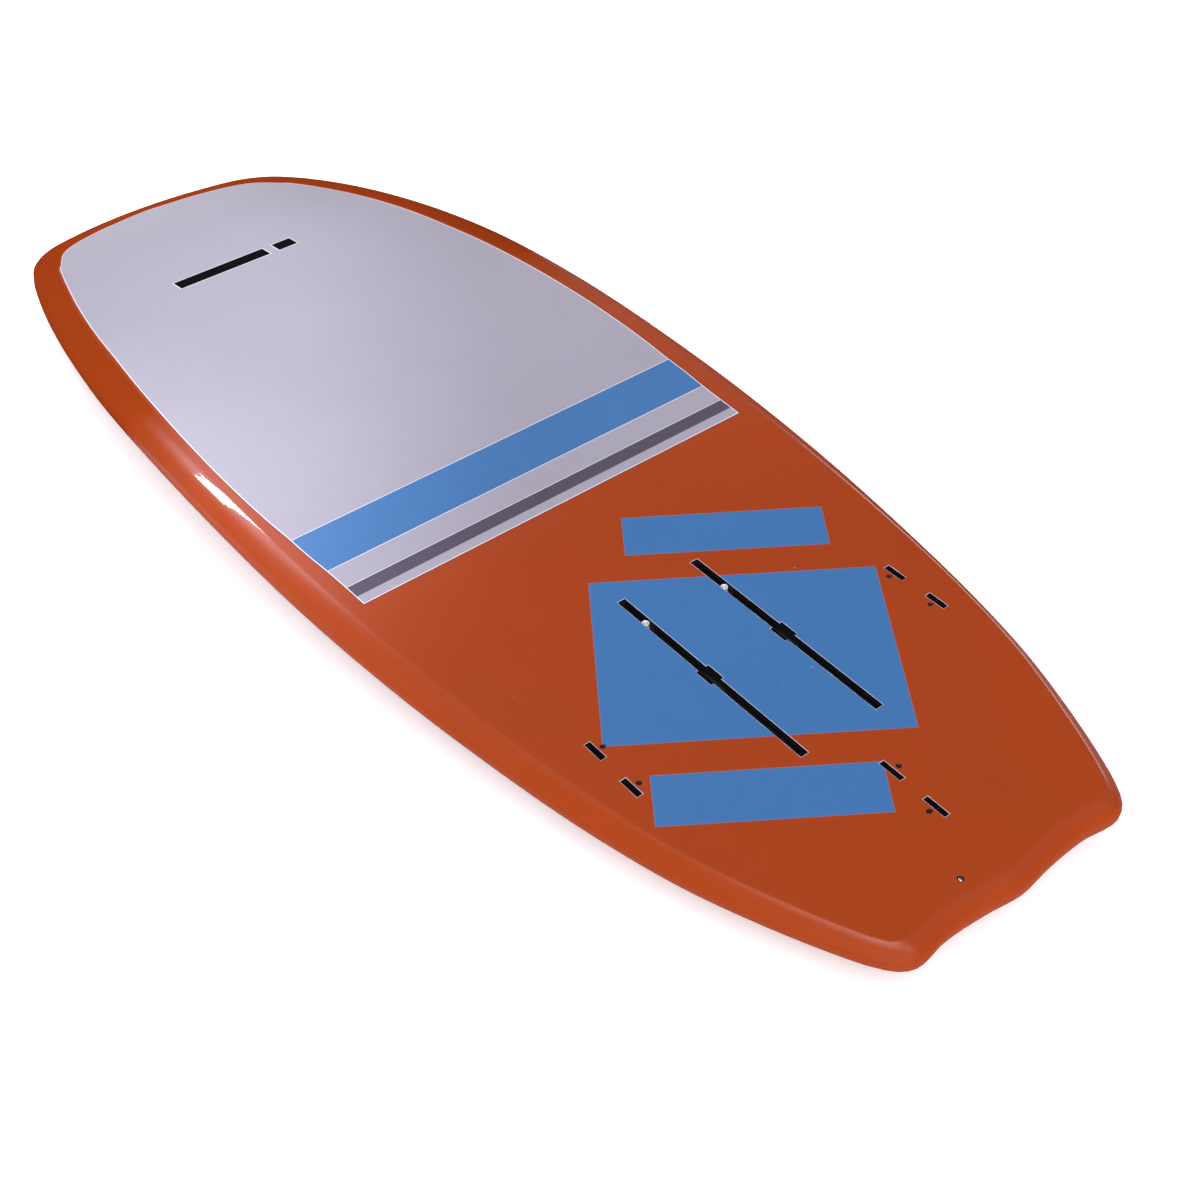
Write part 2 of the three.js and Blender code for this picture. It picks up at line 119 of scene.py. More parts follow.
APEX = 0.37
SPINE = (-215, 1105)
LEASH_X = -297
VENT = (-305, 40)
INSERTS = [(352, 62, "front_inner_starboard"), (352, -62, "front_inner_port"), (268, 168, "front_outer_starboard"),
           (268, -168, "front_outer_port"), (-128, 86, "rear_starboard"), (-128, -86, "rear_port")]
FIN_PLUGS = [(-9.3, 182.4, -1, "starboard_front", 23, 6), (-61.9, 184.4, -1, "starboard_rear", 23, 6),
             (-9.3, -182.4, 1, "port_front", 23, 6), (-61.9, -184.4, 1, "port_rear", 23, 6),
             (-187.5, 0, -1, "centre_front", 25, 5.4), (-239.4, 0, 1, "centre_rear", 25, 5.4)]
TILT = math.radians(28)

def station(table, x):
    t = np.asarray(table, float)
    x = np.asarray(x, float)
    X, Y = t[:, 0], t[:, 1]
    s = np.diff(Y) / np.diff(X)
    m = np.empty(len(X))
    m[0], m[-1] = s[0], s[-1]
    m[1:-1] = np.where(s[:-1] * s[1:] <= 0, 0, (s[:-1] + s[1:]) / 2)
    xc = np.clip(x, X[0], X[-1])
    i = np.clip(np.searchsorted(X, xc, side="right") - 1, 0, len(X) - 2)
    h = X[i + 1] - X[i]
    u = (xc - X[i]) / h
    u2, u3 = u * u, u * u * u
    return (2 * u3 - 3 * u2 + 1) * Y[i] + (u3 - 2 * u2 + u) * h * m[i] + (3 * u2 - 2 * u3) * Y[i + 1] + (u3 - u2) * h * m[i + 1]

def bottom_z(x):
    return -NOSE_DROP * (np.maximum(0, np.asarray(x, float) - FLAT_END) / ROCKER_RUN) ** ROCKER_POWER

def deck_z(x, y):
    v = np.minimum(1, np.abs(y) / station(HALF_WIDTH, x))
    return bottom_z(x) - station(RAIL_THICKNESS, x) - station(DECK_CROWN, x) * (1 - v * v)

def smooth(a, b, x):
    t = np.clip((x - a) / (b - a), 0, 1)
    return t * t * (3 - 2 * t)

def plan_curve(step):
    """The plan outline through the stations as a centripetal spline: points and outward normals, about step mm apart, the middle of the tail first."""
    pts = np.array(OUTLINE + [[x, -y] for x, y in OUTLINE[1:-1][::-1]], float)
    n = len(pts)
    def at(t):
        p = t * n
        i = int(math.floor(p)) % n
        w = p - math.floor(p)
        P = [pts[(i - 1) % n], pts[i], pts[(i + 1) % n], pts[(i + 2) % n]]
        d = [max(1e-4, math.dist(P[k], P[k + 1]) ** 0.5) for k in range(3)]
        t1 = ((P[1] - P[0]) / d[0] - (P[2] - P[0]) / (d[0] + d[1]) + (P[2] - P[1]) / d[1]) * d[1]
        t2 = ((P[2] - P[1]) / d[1] - (P[3] - P[1]) / (d[1] + d[2]) + (P[3] - P[2]) / d[2]) * d[1]
        return P[1] + t1 * w + (-3 * P[1] + 3 * P[2] - 2 * t1 - t2) * w * w + (2 * P[1] - 2 * P[2] + t1 + t2) * w ** 3
    half = []
    m = len(OUTLINE) - 1
    for i in range(m):
        k = max(2, int(round(math.dist(OUTLINE[i], OUTLINE[i + 1]) / step)))
        half += [(i + j / k) / n for j in range(k)]
    half.append(m / n)
    out = []
    for t in half:
        d = at((t + 1e-4) % 1) - at((t - 1e-4) % 1)
        d /= np.linalg.norm(d)
        p = at(t)
        out.append([p[0], p[1], -d[1], d[0]])
    out[0] = [OUTLINE[0][0], 0, -1, 0]
    out[-1] = [OUTLINE[-1][0], 0, 1, 0]
    out += [[p[0], -p[1], p[2], -p[3]] for p in out[1:-1][::-1]]
    return np.array(out)

RIM = plan_curve(9.0)

def hull_row(place, o):
    """One ring of the hull, o mm inside the surface. place is (side, 'in' or 'u', value)."""
    side, kind, value = place
    X, Y, NX, NY = RIM.T
    thick = station(RAIL_THICKNESS, X)
    hb = APEX * thick
    across = smooth(0.45, 0.85, np.abs(NY))          # the tail's end is rounded, the rails beside it are hard
    c = station(HARD_EDGE, X) * np.where(X < 600, across, 1)
    rb = station(BOTTOM_EDGE, X) * np.where(X < 0, 1 + 0.55 * (1 - across), 1) - o * 0.6
    rd = station(DECK_EDGE, X) - o * 0.6
    x0, y0 = X - NX * o, Y - NY * o
    spine = np.clip(X, *SPINE)
    r = rb if side == "bottom" else rd
    if kind == "in":
        ex, ey = x0 - NX * r, y0 - NY * r
        x, y = ex + (spine - ex) * value, ey * (1 - value)
        z = bottom_z(x) - o if side == "bottom" else deck_z(x, y) + o
        return np.stack([x, y, z], 1)
    u = value
    x, y = x0 - NX * r * (1 - u), y0 - NY * r * (1 - u)
    g = 1 - math.sqrt(max(0, 1 - u * u))
    if side == "bottom":
        k = 0.045                                    # the crease has a small radius
        line = (math.sqrt(u * u + k * k) - k) / (math.sqrt(1 + k * k) - k)
        return np.stack([x, y, bottom_z(x) - o - (hb - o) * ((1 - c) * g + c * line)], 1)
    base = deck_z(x, y)
    return np.stack([x, y, base + o + (bottom_z(x) - hb - base - o) * g], 1)

def mesh_object(name, verts, faces, smooth_shade=True):
    me = bpy.data.meshes.new(name)
    me.from_pydata([tuple(v) for v in verts], [], faces)
    me.validate()
    if smooth_shade:
        me.polygons.foreach_set("use_smooth", [True] * len(me.polygons))
    me.update()
    ob = bpy.data.objects.new(name, me)
    scene.collection.objects.link(ob)
    return ob

def weld(ob, dist=2e-6):
    bm = bmesh.new()
    bm.from_mesh(ob.data)
    bmesh.ops.remove_doubles(bm, verts=bm.verts, dist=dist)
    bmesh.ops.dissolve_degenerate(bm, dist=1e-7, edges=bm.edges)
    bmesh.ops.recalc_face_normals(bm, faces=bm.faces)
    bm.to_mesh(ob.data)
    bm.free()
    return ob

def loft(name, rings):
    n = len(rings[0])
    verts = row_array(np.concatenate(rings))
    faces = []
    for a in range(len(rings) - 1):
        for i in range(n):
            j = (i + 1) % n
            faces.append((a * n + i, a * n + j, (a + 1) * n + j, (a + 1) * n + i))
    ob = weld(mesh_object(name, verts, faces))
    return ob

B_IN = [1, 0.96, 0.88, 0.78, 0.67, 0.56, 0.46, 0.36, 0.27, 0.19, 0.12, 0.06, 0.02, 0]
B_U = [0.03, 0.07, 0.12, 0.18, 0.26, 0.35, 0.45, 0.55, 0.65, 0.74, 0.82, 0.885, 0.935, 0.97, 0.99, 1]
D_U = [1, 0.99, 0.97, 0.935, 0.89, 0.83, 0.76, 0.68, 0.59, 0.49, 0.38, 0.26, 0.13, 0]
D_IN = [0.03, 0.08, 0.15, 0.24, 0.34, 0.45, 0.56, 0.67, 0.78, 0.88, 0.96, 1]
outer_bottom = [hull_row(("bottom", "in", t), 0) for t in B_IN] + [hull_row(("bottom", "u", u), 0) for u in B_U]
outer_deck = [hull_row(("deck", "u", u), 0) for u in D_U] + [hull_row(("deck", "in", t), 0) for t in D_IN]
inner_bottom = [hull_row(("bottom", "u", u), SKIN) for u in (1, 0.9, 0.6, 0.3)] + [hull_row(("bottom", "in", t), SKIN) for t in (0, 0.3, 0.6, 1)]
inner_deck = [hull_row(("deck", "in", t), SKIN) for t in (1, 0.6, 0.3, 0)] + [hull_row(("deck", "u", u), SKIN) for u in (0.3, 0.6, 0.9, 1)]
# both shells share the apex line; a whole outer skin gives the shading across it
whole = loft("whole", outer_bottom + outer_deck[1:])
bottom = loft("hull_bottom", outer_bottom + inner_bottom)
deck = loft("hull_deck", inner_deck + [outer_deck[0]] + outer_deck[1:])

def mitre(poly, d):
    """A counter-clockwise polygon grown by d."""
    n = len(poly)
    out = []
    for i in range(n):
        a, b, c = (np.array(poly[(i + k) % n], float) for k in (-1, 0, 1))
        u, v = (b - a) / np.linalg.norm(b - a), (c - b) / np.linalg.norm(c - b)
        n1, n2 = np.array([u[1], -u[0]]), np.array([v[1], -v[0]])
        out.append(tuple(b + d * (n1 + n2) / (1 + n1 @ n2)))
    return out

def rect(x, y, dx, dy):
    return [(x - dx / 2, y - dy / 2), (x + dx / 2, y - dy / 2), (x + dx / 2, y + dy / 2), (x - dx / 2, y + dy / 2)]

def soften(poly, r, n=4):
    """Rounds the corners of a polygon by r."""
    out = []
    m = len(poly)
    for i in range(m):
        a, b, c = (np.array(poly[(i + k) % m], float) for k in (-1, 0, 1))
        u, v = (a - b) / np.linalg.norm(a - b), (c - b) / np.linalg.norm(c - b)
        if v[0] * u[1] - v[1] * u[0] < 0:            # an inner corner stays square
            out.append(tuple(b))
            continue
        p, q = b + u * r, b + v * r
        for k in range(n + 1):
            t = k / n
            out.append(tuple((1 - t) ** 2 * p + 2 * t * (1 - t) * b + t * t * q))
    return out

def ring_poly(x, y, r, n=32, sy=1.0):
    return [(x + r * math.cos(2 * math.pi * k / n), y + sy * r * math.sin(2 * math.pi * k / n)) for k in range(n)]

def cutter(parts, poly, levels, shift=(0, 0)):
    """levels: (z, grow) from low to high; shift moves the outline per mm of z."""
    base = len(parts["v"])
    n = len(poly)
    for z, grow in levels:
        ring = mitre(poly, grow) if grow else poly
        parts["v"] += [tuple(row((x + shift[0] * z, y + shift[1] * z, z))) for x, y in ring]
    for l in range(len(levels) - 1):
        for i in range(n):
            j = (i + 1) % n
            parts["f"].append((base + l * n + i, base + l * n + j, base + (l + 1) * n + j, base + (l + 1) * n + i))
    parts["f"].append(tuple(base + i for i in range(n))[::-1])
    parts["f"].append(tuple(base + (len(levels) - 1) * n + i for i in range(n)))

def boolean(ob, parts, op="DIFFERENCE"):
    cut = weld(mesh_object("cutter", parts["v"], parts["f"], False), 1e-8)
    mod = ob.modifiers.new("cut", "BOOLEAN")
    mod.operation, mod.solver, mod.object = op, "EXACT", cut
    dg = bpy.context.evaluated_depsgraph_get()
    me = bpy.data.meshes.new_from_object(ob.evaluated_get(dg))
    ob.modifiers.clear()
    ob.data = me
    bpy.data.objects.remove(cut)

# openings through the bottom skin, each with a small eased edge
EASE = 0.35
def levels(ease=EASE, low=-6.0):
    return [(low, 0), (-ease, 0), (0.2, ease + 0.2), (2.0, ease + 0.2)]
cuts = {"v": [], "f": []}
for s in (1, -1):
    y = 45 * s
    x0, x1, g0, g1 = -127, 127, -11.8, 8.8
    poly = [(x0, y - 4.3), (g0, y - 4.3), (g0, y - 7.3), (g1, y - 7.3), (g1, y - 4.3), (x1, y - 4.3),
            (x1, y + 4.3), (g1, y + 4.3), (g1, y + 7.3), (g0, y + 7.3), (g0, y + 4.3), (x0, y + 4.3)]
    cutter(cuts, soften(poly, 0.6, 3), levels())
for x, y, side, name, long, across in FIN_PLUGS:
    cutter(cuts, soften(rect(x, y, long, across), 0.7, 3), levels())
    cutter(cuts, ring_poly(x, y + side * 8.2, 2.35, 28, 1 / math.cos(TILT)), [(-6, 0), (-0.25, 0), (0.2, 0.45), (2, 0.45)], (0, side * math.tan(TILT)))
cutter(cuts, ring_poly(*VENT, 2.75, 40), [(-6, 0), (-0.3, 0), (0.2, 0.5), (2, 0.5)])
boolean(bottom, cuts)

cuts = {"v": [], "f": []}
leash_face = float(deck_z(LEASH_X, 0))
def deck_cutter(x, y, r, n=40):
    f = float(deck_z(x, y))
    cutter(cuts, ring_poly(x, y, r, n), [(f - 6, 6), (f + 0.3, 0), (f + 12, 0)])
deck_cutter(LEASH_X, 0, 14.8, 48)
for x, y, name in INSERTS:
    deck_cutter(x, y, 6.3, 32)
boolean(deck, cuts)

def shade(ob, angle=35):
    me = ob.data
    me.polygons.foreach_set("use_smooth", [True] * len(me.polygons))
    me.set_sharp_from_angle(angle=math.radians(angle))

def hull_shading(ob):
    """Corner normals on the outer skin come from the whole, uncut skin, so nothing shows at the line where the shells meet."""
    shade(ob)
    ref = whole.data
    tree = BVHTree.FromPolygons([v.co for v in ref.vertices], [tuple(p.vertices) for p in ref.polygons])
    vn = [v.normal.copy() for v in ref.vertices]
    me = ob.data
    normals = [Vector(n.vector) for n in me.corner_normals]
    cache = {}
    for p in me.polygons:
        for li in p.loop_indices:
            vi = me.loops[li].vertex_index
            if vi not in cache:
                co, no, fi, dist = tree.find_nearest(me.vertices[vi].co)
                if dist is None or dist > 3e-5:
                    cache[vi] = None
                else:
                    vs = ref.polygons[fi].vertices
                    w = poly_3d_calc([ref.vertices[k].co for k in vs], co)
                    cache[vi] = sum((vn[k] * wk for k, wk in zip(vs, w)), Vector()).normalized()
            n = cache[vi]
            if n is not None and p.normal.dot(n) > 0.72:
                normals[li] = n
    me.normals_split_custom_set([tuple(n) for n in normals])

hull_shading(bottom)
hull_shading(deck)
bpy.data.objects.remove(whole)
for ob, node in ((bottom, "bottom_shell"), (deck, "deck_shell")):
    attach(ob, "board")
    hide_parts(node)

# ------------------------------------------------------------------ material expressions
class E:
    """A number in a material: a socket or a plain float."""
    tree = None
    def __init__(self, v):
        self.v = v
    @staticmethod
    def put(socket, x):
        x = x.v if isinstance(x, E) else x
        if isinstance(x, (int, float)):
            socket.default_value = x
        else:
            E.tree.links.new(x, socket)
    @staticmethod
    def op(name, *a, clamp=False):
        n = E.tree.nodes.new("ShaderNodeMath")
        n.operation, n.use_clamp = name, clamp
        for i, x in enumerate(a):
            E.put(n.inputs[i], x)
        return E(n.outputs[0])
    def __add__(s, o): return E.op("ADD", s, o)
    __radd__ = __add__
    def __sub__(s, o): return E.op("SUBTRACT", s, o)
    def __rsub__(s, o): return E.op("SUBTRACT", o, s)
    def __mul__(s, o): return E.op("MULTIPLY", s, o)
    __rmul__ = __mul__
    def __truediv__(s, o): return E.op("DIVIDE", s, o)
    def __neg__(s): return E.op("MULTIPLY", s, -1.0)

def absn(a): return E.op("ABSOLUTE", a)
def lo2(a, *b):
    for x in b: a = E.op("MINIMUM", a, x)
    return a
def hi2(a, *b):
    for x in b: a = E.op("MAXIMUM", a, x)
    return a
def sat(a): return E.op("ADD", a, 0.0, clamp=True)
def edge(d, w=0.3): return E.op("MULTIPLY_ADD", d, 1.0 / w, 0.5, clamp=True)   # 1 where d is over 0
def ramp(a, x0, x1, y0=0.0, y1=1.0):
    n = E.tree.nodes.new("ShaderNodeMapRange")
    n.clamp = True
    for k, v in (("Value", a), ("From Min", x0), ("From Max", x1), ("To Min", y0), ("To Max", y1)):
        E.put(n.inputs[k], v)
    return E(n.outputs["Result"])
def curve(a, pts, y_scale, x0, x1):
    """A smooth curve through pts, read at a."""
    n = E.tree.nodes.new("ShaderNodeFloatCurve")
    E.put(n.inputs["Factor"], 1.0)
    E.put(n.inputs["Value"], ramp(a, x0, x1))
    c = n.mapping.curves[0]
    pts = [((x - x0) / (x1 - x0), y / y_scale) for x, y in pts]
    c.points[0].location, c.points[1].location = pts[0], pts[-1]
    for p in pts[1:-1]:
        c.points.new(*p)
    n.mapping.update()
    return E(n.outputs[0]) * y_scale
def noise(vec, scale, detail=2.0, rough=0.5, out="Fac"):
    n = E.tree.nodes.new("ShaderNodeTexNoise")
    if vec is not None: E.tree.links.new(vec, n.inputs["Vector"])
    n.inputs["Scale"].default_value, n.inputs["Detail"].default_value, n.inputs["Roughness"].default_value = scale, detail, rough
    return E(n.outputs[out])
def voronoi(vec, scale, feature="F1", out="Distance", rand=1.0):
    n = E.tree.nodes.new("ShaderNodeTexVoronoi")
    n.feature = feature
    if vec is not None: E.tree.links.new(vec, n.inputs["Vector"])
    n.inputs["Scale"].default_value = scale
    n.inputs["Randomness"].default_value = rand
    return E(n.outputs[out])
def mix(f, a, b):
    n = E.tree.nodes.new("ShaderNodeMix")
    n.data_type = "RGBA"
    E.put(n.inputs[0], f)
    for s, c in ((n.inputs[6], a), (n.inputs[7], b)):
        if isinstance(c, tuple): s.default_value = (*c, 1)
        else: E.tree.links.new(c, s)
    return n.outputs[2]
def scale_colour(c, f):
    n = E.tree.nodes.new("ShaderNodeVectorMath")
    n.operation = "SCALE"
    if isinstance(c, tuple): n.inputs[0].default_value = c
    else: E.tree.links.new(c, n.inputs[0])
    E.put(n.inputs["Scale"], f)
    return n.outputs[0]
def bump(height, distance, strength=1.0, normal=None):
    n = E.tree.nodes.new("ShaderNodeBump")
    n.inputs["Strength"].default_value = strength
    n.inputs["Distance"].default_value = distance
    E.put(n.inputs["Height"], height)
    if normal is not None: E.tree.links.new(normal, n.inputs["Normal"])
    return n.outputs[0]
def position():
    return E.tree.nodes.new("ShaderNodeTexCoord").outputs["Object"]
def board_axes():
    """Board x, y and z in mm at the shading point."""
    n = position()
    out = []
    for v, c in (((1000 * PC, 0, 1000 * PS), -PX * PC - PZ * PS), ((0, 1000, 0), 0.0), ((-1000 * PS, 0, 1000 * PC), PX * PS - PZ * PC)):
        d = E.tree.nodes.new("ShaderNodeVectorMath")
        d.operation = "DOT_PRODUCT"
        E.tree.links.new(n, d.inputs[0])
        d.inputs[1].default_value = v
        out.append(E(d.outputs["Value"]) + c)
    return out, n
def material(name):
    m = bpy.data.materials.new(name)
    m.use_nodes = True
    nt = m.node_tree
    nt.nodes.clear()
    E.tree = nt
    b = nt.nodes.new("ShaderNodeBsdfPrincipled")
    o = nt.nodes.new("ShaderNodeOutputMaterial")
    nt.links.new(b.outputs[0], o.inputs[0])
    return m, b
def give(b, key, x):
    s = b.inputs[key]
    if isinstance(x, tuple): s.default_value = (*x, 1)
    elif isinstance(x, E): E.put(s, x)
    elif isinstance(x, (int, float)): s.default_value = x
    else: E.tree.links.new(x, s)
def rgb(r, g, b):
    return tuple(((c / 255 + 0.055) / 1.055) ** 2.4 if c > 10.3 else c / 255 / 12.92 for c in (r, g, b))

def box_gap(x, y, cx, cy, hx, hy):
    """Distance to a rectangle, positive outside."""
    return hi2(absn(x - cx) - hx, absn(y - cy) - hy)
def soft_lo(a, b, k):
    """The smaller of two distances, with the corner between them rounded."""
    h = hi2(k - absn(a - b), 0.0)
    return lo2(a, b) - h * h * (1 / (4 * k))
def disc_gap(x, y, cx, cy, r, sy=1.0):
    n = E.op("SQRT", (x - cx) * (x - cx) + (y - cy) * (y - cy) * (1 / sy ** 2))
    return n - r

ORANGE = rgb(150, 58, 20)
BLUE = rgb(60, 106, 158)
LILAC = rgb(152, 148, 161)
SLATE = rgb(76, 71, 86)
WHITE = rgb(214, 209, 220)
INK = rgb(7, 7, 9)

PANEL_SIDE = [(270, 235.5), (300, 236.5), (341, 238.5), (375, 241), (410, 242.5), (450, 245), (525, 246.5), (600, 245), (675, 241), (750, 235), (825, 226.5), (900, 217), (975, 203.5), (1050, 186), (1110, 170), (1140, 161), (1170, 152), (1270, 122)]
PANEL_FRONT = [(0, 1226), (26, 1222.5), (43, 1219), (61, 1216), (78, 1211), (96, 1204), (114, 1195.5), (130, 1184), (143, 1170), (152, 1155), (158, 1143), (162, 1136), (170, 1131), (185, 1130), (250, 1130)]

def paint(name, is_deck):
    m, b = material(name)
    (x, y, z), pos = board_axes()
    ay = absn(y)
    broad = noise(pos, 3.1, 3, 0.55)
    fine = noise(pos, 60, 3, 0.6)
    side = curve(x, PANEL_SIDE, 300, 270, 1270)
    front = curve(ay, PANEL_FRONT, 1300, 0, 250)
    panel = lo2(soft_lo(side - ay, front - x, 16.0), x - 279.9)
    if is_deck:
        panel = lo2(side - 26 - ay, front - 24 - x, x - 668)
    # a thin dark red-brown line just outside the white keyline: painted shadow along the panel's edge
    colour = mix(edge(panel + 1.9), ORANGE, rgb(104, 40, 27))
    colour = mix(edge(panel + 1.1), colour, WHITE)
    colour = mix(edge(panel - 0.0), colour, LILAC)
    inside = edge(panel)
    def bar(x0, x1): return edge(lo2(x - x0, x1 - x)) * inside
    if is_deck:
        colour = mix(bar(690, 752), colour, BLUE)
        colour = mix(bar(772, 788), colour, SLATE)
    else:
        colour = mix(bar(341.5, 403.3), colour, BLUE)
        colour = mix(bar(340.7, 341.5), colour, WHITE)
        colour = mix(bar(403.3, 404.1), colour, WHITE)
        colour = mix(bar(291.8, 308.9), colour, SLATE)
        colour = mix(bar(308.9, 309.6), colour, WHITE)
        # plain dash mark near the nose: a bar and a block
        lean = y + (x - 935) * 0.0
        dash = lo2(absn(x - 935) * -1.0 + 11.0, 62 - absn(lean - 30))
        block_ = lo2(absn(x - 935) * -1.0 + 11.0, 13 - absn(lean + 58))
        colour = mix(edge(hi2(dash, block_) + 1.2), colour, WHITE)
        colour = mix(edge(hi2(dash, block_)), colour, INK)
        # three plain slanted blocks of colour
        along, over = x * 0.825 - y * 0.566, x * 0.566 + y * 0.825
        middle = lo2(106 - absn(along), 138 - absn(over))
        pair = lo2(28 - absn(absn(along) - 172), 100 - absn(over))
        blue = hi2(middle, pair)
        colour = mix(edge(blue + 0.9), colour, rgb(120, 96, 120))
        colour = mix(edge(blue), colour, BLUE)
        # openings: eased paint edge with a pale ragged line, partly chipped paint and partly painted highlight, then
        # the black of the fittings
        gap = lo2(box_gap(x, ay, 0, 45, 127, 4.3), box_gap(x, ay, -1.5, 45, 10.3, 7.3), box_gap(x, ay, -9.3, 182.4, 11.5, 3.0), box_gap(x, ay, -61.9, 184.4, 11.5, 3.0))
        gap = lo2(gap, box_gap(x, y, -187.5, 0, 12.5, 2.7), box_gap(x, y, -239.4, 0, 12.5, 2.7))
        grub = lo2(disc_gap(x, ay, -9.3, 174.2, 2.35, 1.13), disc_gap(x, ay, -61.9, 176.2, 2.35, 1.13), disc_gap(x, y, -187.5, -8.2, 2.35, 1.13), disc_gap(x, y, -239.4, 8.2, 2.35, 1.13))
        vent = disc_gap(x, y, VENT[0], VENT[1], 2.75)
        # pale ragged line along the opening edges: partly chipped paint, partly painted highlight on the eased edge
        chips_and_highlight = fine * 0.9
        colour = mix(edge(0.1 + chips_and_highlight - gap, 0.3) * 0.85, colour, rgb(200, 196, 214))
        colour = mix(edge(0.15 - lo2(gap, grub), 0.2), colour, rgb(16, 16, 19))
        # a dark brown ring on the lip of each grub hole: painted shade at the hole's rim
        colour = mix(edge(0.5 - grub, 0.3) * 0.6, colour, rgb(60, 34, 30))
        # a dark brown ring on the vent hole's wall and rim: painted shade in the gap round the screw
        colour = mix(edge(0.2 - vent, 0.2), colour, rgb(40, 24, 22))
    # age: slight cloudiness, dust specks, tiny pin marks; also painted shade on the forward rails
    floor_line = E.op("POWER", hi2(x - FLAT_END, 0.0) * (1 / ROCKER_RUN), ROCKER_POWER) * -NOSE_DROP
    drop = floor_line - z
    shade_ = 1 - ramp(x, 520, 740) * hi2(ramp(drop, 0.3, 4.0), ramp(panel * -1.0, 1.0, 6.0)) * 0.30      # painted shade: the orange outside the panel and down the forward rails darkened by 30%
    tone = ramp(broad, 0.3, 0.7, 0.965, 1.035) * ramp(fine, 0.2, 0.8, 0.985, 1.015) * shade_
    colour = scale_colour(colour, tone)
    specks = edge(0.03 - voronoi(pos, 40), 0.015) * edge(noise(pos, 5.0, 2) - 0.6, 0.08)
    colour = mix(specks * 0.35, colour, rgb(225, 205, 200))
    give(b, "Base Color", colour)
    start = ramp(x, -100, 350, 0.9, 5.0)
    side_on = ramp(drop, start, start * 2.0 + 2.0)
    nose_side = ramp(x, 560, 700) * hi2(ramp(drop, 0.1, 2.6), ramp(panel * -1.0, 0.5, 4.0))
    far_side = ramp(-y, 150, 225) * ramp(drop, 0.5, 3.5)
    plain = hi2(nose_side, far_side * 0.95, ramp(drop, 9, 15) * 0.8, side_on * ramp(x, 150, 0) * 0.75)
    if not is_deck:
        plain = hi2(plain, edge(hi2(dash, block_)) * 0.9)           # the mark is flat black, printed over the gloss
    plain = hi2(plain, ramp(x, 330, 230) * ramp(drop, 0.6, 0.1) * 0.5)
    give(b, "Coat Weight", (0.55 - side_on * 0.35) * ramp(x, 230, 400, 0.6, 1.0))
    smear = noise(pos, 7.5, 5, 0.6)
    give(b, "Roughness", hi2(ramp(smear, 0.25, 0.75, 0.30, 0.42), side_on * 0.46))
    give(b, "Specular IOR Level", 0.25)
    give(b, "Coat Roughness", 0.035)
    give(b, "Coat IOR", 1.5)
    peel = noise(pos, 170, 2, 0.5)
    wave = noise(pos, 9, 2, 0.5)
    n1 = bump(wave, 0.0011, 0.18)
    n2 = bump(peel, 0.00009, 0.25, n1)
    E.tree.links.new(n2, b.inputs["Normal"])
    E.tree.links.new(n2, b.inputs["Coat Normal"])
    # where the rail turns under, the paint was rubbed down and has no shine left
    dull = E.tree.nodes.new("ShaderNodeBsdfPrincipled")
    give(dull, "Base Color", colour)
    give(dull, "Roughness", 0.7)
    give(dull, "Specular IOR Level", 0.0)
    E.tree.links.new(n2, dull.inputs["Normal"])
    both = E.tree.nodes.new("ShaderNodeMixShader")
    E.put(both.inputs[0], plain)
    E.tree.links.new(b.outputs[0], both.inputs[1])
    E.tree.links.new(dull.outputs[0], both.inputs[2])
    out = [n for n in E.tree.nodes if n.type == "OUTPUT_MATERIAL"][0]
    E.tree.links.new(both.outputs[0], out.inputs[0])
    return m

bottom.data.materials.clear(); bottom.data.materials.append(paint("paint_bottom", False))
deck.data.materials.clear(); deck.data.materials.append(paint("paint_deck", True))

# ------------------------------------------------------------------ other finishes
def black_moulding(name, base=(20, 20, 23), rough=(0.38, 0.55), grain=900, depth=0.00006):
    m, b = material(name)
    pos = position()
    dust = noise(pos, 30, 4, 0.6)
    give(b, "Base Color", mix(ramp(dust, 0.5, 0.8, 0, 0.35), rgb(*base), rgb(base[0] + 26, base[1] + 24, base[2] + 24)))
    give(b, "Roughness", ramp(noise(pos, 120, 3), 0.3, 0.7, *rough))
    E.tree.links.new(bump(noise(pos, grain, 2), depth, 0.5), b.inputs["Normal"])
    return m

def metal(name, colour, rough=(0.18, 0.34), turned=True):
    m, b = material(name)
    pos = position()
    give(b, "Base Color", mix(ramp(noise(pos, 400, 3), 0.4, 0.75, 0, 0.25), rgb(*colour), rgb(*[int(c * 0.72) for c in colour])))
    give(b, "Metallic", 1.0)
    give(b, "Roughness", ramp(noise(pos, 1500, 3), 0.3, 0.7, *rough))
    E.tree.links.new(bump(noise(pos, 2600, 2), 0.00002, 0.4), b.inputs["Normal"])
    return m

def foam(name, colour, cell, depth, bright=0.06):
    m, b = material(name)
    pos = position()
    d = voronoi(pos, cell)
    give(b, "Base Color", mix(ramp(d, 0.1, 0.8, 0, 1), rgb(*colour), rgb(*[int(c * 0.9) for c in colour])))
    give(b, "Roughness", ramp(d, 0, 1, 0.8, 0.95))
    E.tree.links.new(bump(d * -1.0, depth, 0.6), b.inputs["Normal"])
    return m

def wood(name):
    m, b = material(name)
    pos = position()
    mp = E.tree.nodes.new("ShaderNodeMapping")
    E.tree.links.new(pos, mp.inputs["Vector"])
    mp.inputs["Scale"].default_value = (1.2, 30, 30)
    g = noise(mp.outputs[0], 7, 5, 0.65)
    give(b, "Base Color", mix(ramp(g, 0.3, 0.7), rgb(205, 168, 118), rgb(150, 108, 66)))
    give(b, "Roughness", ramp(g, 0, 1, 0.55, 0.75))
    E.tree.links.new(bump(g, 0.0003, 0.4), b.inputs["Normal"])
    return m

